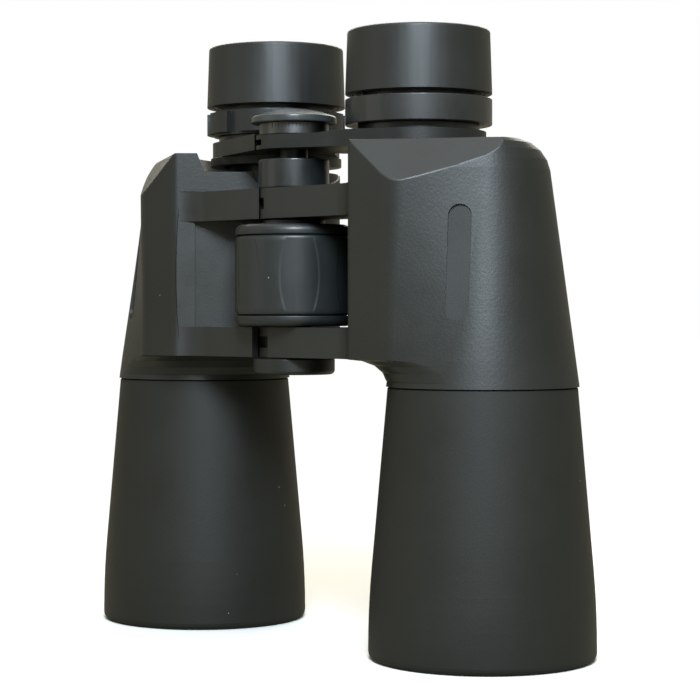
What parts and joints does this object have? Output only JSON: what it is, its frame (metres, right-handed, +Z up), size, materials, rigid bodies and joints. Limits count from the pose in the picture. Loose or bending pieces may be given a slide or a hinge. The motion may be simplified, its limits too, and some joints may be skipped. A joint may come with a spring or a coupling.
{
  "type": "binoculars",
  "caption": "Full-size Porro prism binoculars with centre focus wheel, folding hinge, dioptre ring, twist-up eyecups and a tripod socket.",
  "frame": {"origin": "middle of the footprint on the plane that the two objective ends stand on", "axes": "+Z up along the optical axes from the objectives to the eyepieces, +X towards the user's left half, -Y towards the focus wheel side"},
  "size_m": [0.178, 0.065, 0.1756],
  "materials": {
    "armour_rubber": "matte, fine leathery texture",
    "tube_rubber": "matte, fine texture",
    "eyecup_rubber": "smooth matte",
    "grip_rubber": "satin, moulded lines",
    "black_paint": "satin black paint on die-cast alloy",
    "gloss_black": "gloss black",
    "black_plastic": "satin black moulding",
    "black_anodised": "black anodised",
    "inner_black": "matte black inside",
    "plain_aluminium": "machined",
    "brass": "machined",
    "steel": "zinc plated",
    "spring_steel": "blued spring strip",
    "prism_glass": "polished",
    "coated_glass": "violet anti-reflection coating"
  },
  "bodies": {
    "left_barrel": {"left_prism_housing": "black_paint", "left_housing_armour": "armour_rubber", "left_top_cover": "black_paint", "left_cover_screws": "steel", "left_prism_plate": "plain_aluminium", "left_plate_screws": "steel", "left_prisms": "prism_glass", "left_prism_clips": "spring_steel", "left_objective_tube": "inner_black", "left_objective_armour": "tube_rubber", "left_objective_cell": "black_anodised", "left_objective_lock_ring": "black_anodised", "left_objective_lens": "coated_glass", "left_strap_lug": "black_anodised", "hinge_post": "gloss_black", "tripod_bush": "brass"},
    "right_barrel": {"right_prism_housing": "black_paint", "right_housing_armour": "armour_rubber", "right_top_cover": "black_paint", "right_cover_screws": "steel", "right_prism_plate": "plain_aluminium", "right_plate_screws": "steel", "right_prisms": "prism_glass", "right_prism_clips": "spring_steel", "right_objective_tube": "inner_black", "right_objective_armour": "tube_rubber", "right_objective_cell": "black_anodised", "right_objective_lock_ring": "black_anodised", "right_objective_lens": "coated_glass", "right_strap_lug": "black_anodised"},
    "focus_wheel": {"focus_wheel_core": "gloss_black", "focus_nut": "brass", "focus_wheel_grip": "grip_rubber"},
    "bridge": {"focus_spindle": "steel", "left_bridge_arm": "black_paint", "interpupillary_scale": "plain_aluminium", "bridge_cap": "gloss_black", "left_eyepiece_barrel": "black_anodised", "left_eyepiece_ring": "gloss_black", "left_field_stop": "inner_black", "left_ocular_cell": "black_anodised", "left_ocular_lenses": "coated_glass", "left_lens_spacer": "inner_black"},
    "right_bridge": {"right_bridge_arm": "black_paint", "right_eyepiece_barrel": "black_anodised", "right_field_stop": "inner_black"},
    "dioptre": {"dioptre_ring": "black_plastic", "dioptre_pin": "steel"},
    "right_ocular": {"right_ocular_cell": "black_anodised", "right_ocular_lenses": "coated_glass", "right_lens_spacer": "inner_black"},
    "left_click": {"left_click_ring": "black_plastic"},
    "right_click": {"right_click_ring": "black_plastic"},
    "left_cup": {"left_eyecup_sleeve": "black_plastic", "left_eyecup": "eyecup_rubber"},
    "right_cup": {"right_eyecup_sleeve": "black_plastic", "right_eyecup": "eyecup_rubber"},
    "tripod_screw_cap": {"tripod_cap": "black_plastic"}
  },
  "joints": [
    {"name": "interpupillary_hinge", "type": "hinge", "parent": "left_barrel", "child": "right_barrel", "pos_m": [0, -0.01555, 0.107], "axis": [0, 0, 1], "range_deg": [-7.6, 28]},
    {"name": "focus_wheel_turn", "type": "hinge", "parent": "left_barrel", "child": "focus_wheel", "pos_m": [0, -0.01555, 0.106], "axis": [0, 0, 1], "range_deg": [-91, 302]},
    {"name": "focus_travel", "type": "slide", "parent": "left_barrel", "child": "bridge", "axis": [0, 0, 1], "range_m": [-0.0015, 0.005]},
    {"name": "bridge_fold", "type": "hinge", "parent": "bridge", "child": "right_bridge", "pos_m": [0, -0.01555, 0.145], "axis": [0, 0, 1], "range_deg": [-7.7, 28.1]},
    {"name": "dioptre_turn", "type": "hinge", "parent": "right_bridge", "child": "dioptre", "pos_m": [-0.0295, 0.00545, 0.152], "axis": [0, 0, 1], "range_deg": [-45.5, 45.5]},
    {"name": "dioptre_shift", "type": "slide", "parent": "right_bridge", "child": "right_ocular", "axis": [0, 0, 1], "range_m": [-0.0012, 0.0012]},
    {"name": "left_eyecup_twist", "type": "hinge", "parent": "bridge", "child": "left_click", "pos_m": [0.0295, 0.00545, 0.16], "axis": [0, 0, 1], "range_deg": [0, 120.5]},
    {"name": "left_eyecup_rise", "type": "slide", "parent": "left_click", "child": "left_cup", "axis": [0, 0, 1], "range_m": [0, 0.008]},
    {"name": "right_eyecup_twist", "type": "hinge", "parent": "right_bridge", "child": "right_click", "pos_m": [-0.0295, 0.00545, 0.16], "axis": [0, 0, 1], "range_deg": [0, 120.5]},
    {"name": "right_eyecup_rise", "type": "slide", "parent": "right_click", "child": "right_cup", "axis": [0, 0, 1], "range_m": [0, 0.008]},
    {"name": "tripod_cap_unscrew", "type": "slide", "parent": "left_barrel", "child": "tripod_screw_cap", "axis": [0, 0, -1], "range_m": [0, 0.03]}
  ],
  "couplings": [
    {"joint": "focus_wheel_turn", "follows": "focus_travel", "rad_per_m": 1052.6},
    {"joint": "bridge_fold", "follows": "interpupillary_hinge", "ratio": 1},
    {"joint": "dioptre_turn", "follows": "dioptre_shift", "rad_per_m": 654.5},
    {"joint": "left_eyecup_twist", "follows": "left_eyecup_rise", "rad_per_m": 261.8},
    {"joint": "right_eyecup_twist", "follows": "right_eyecup_rise", "rad_per_m": 261.8}
  ]
}
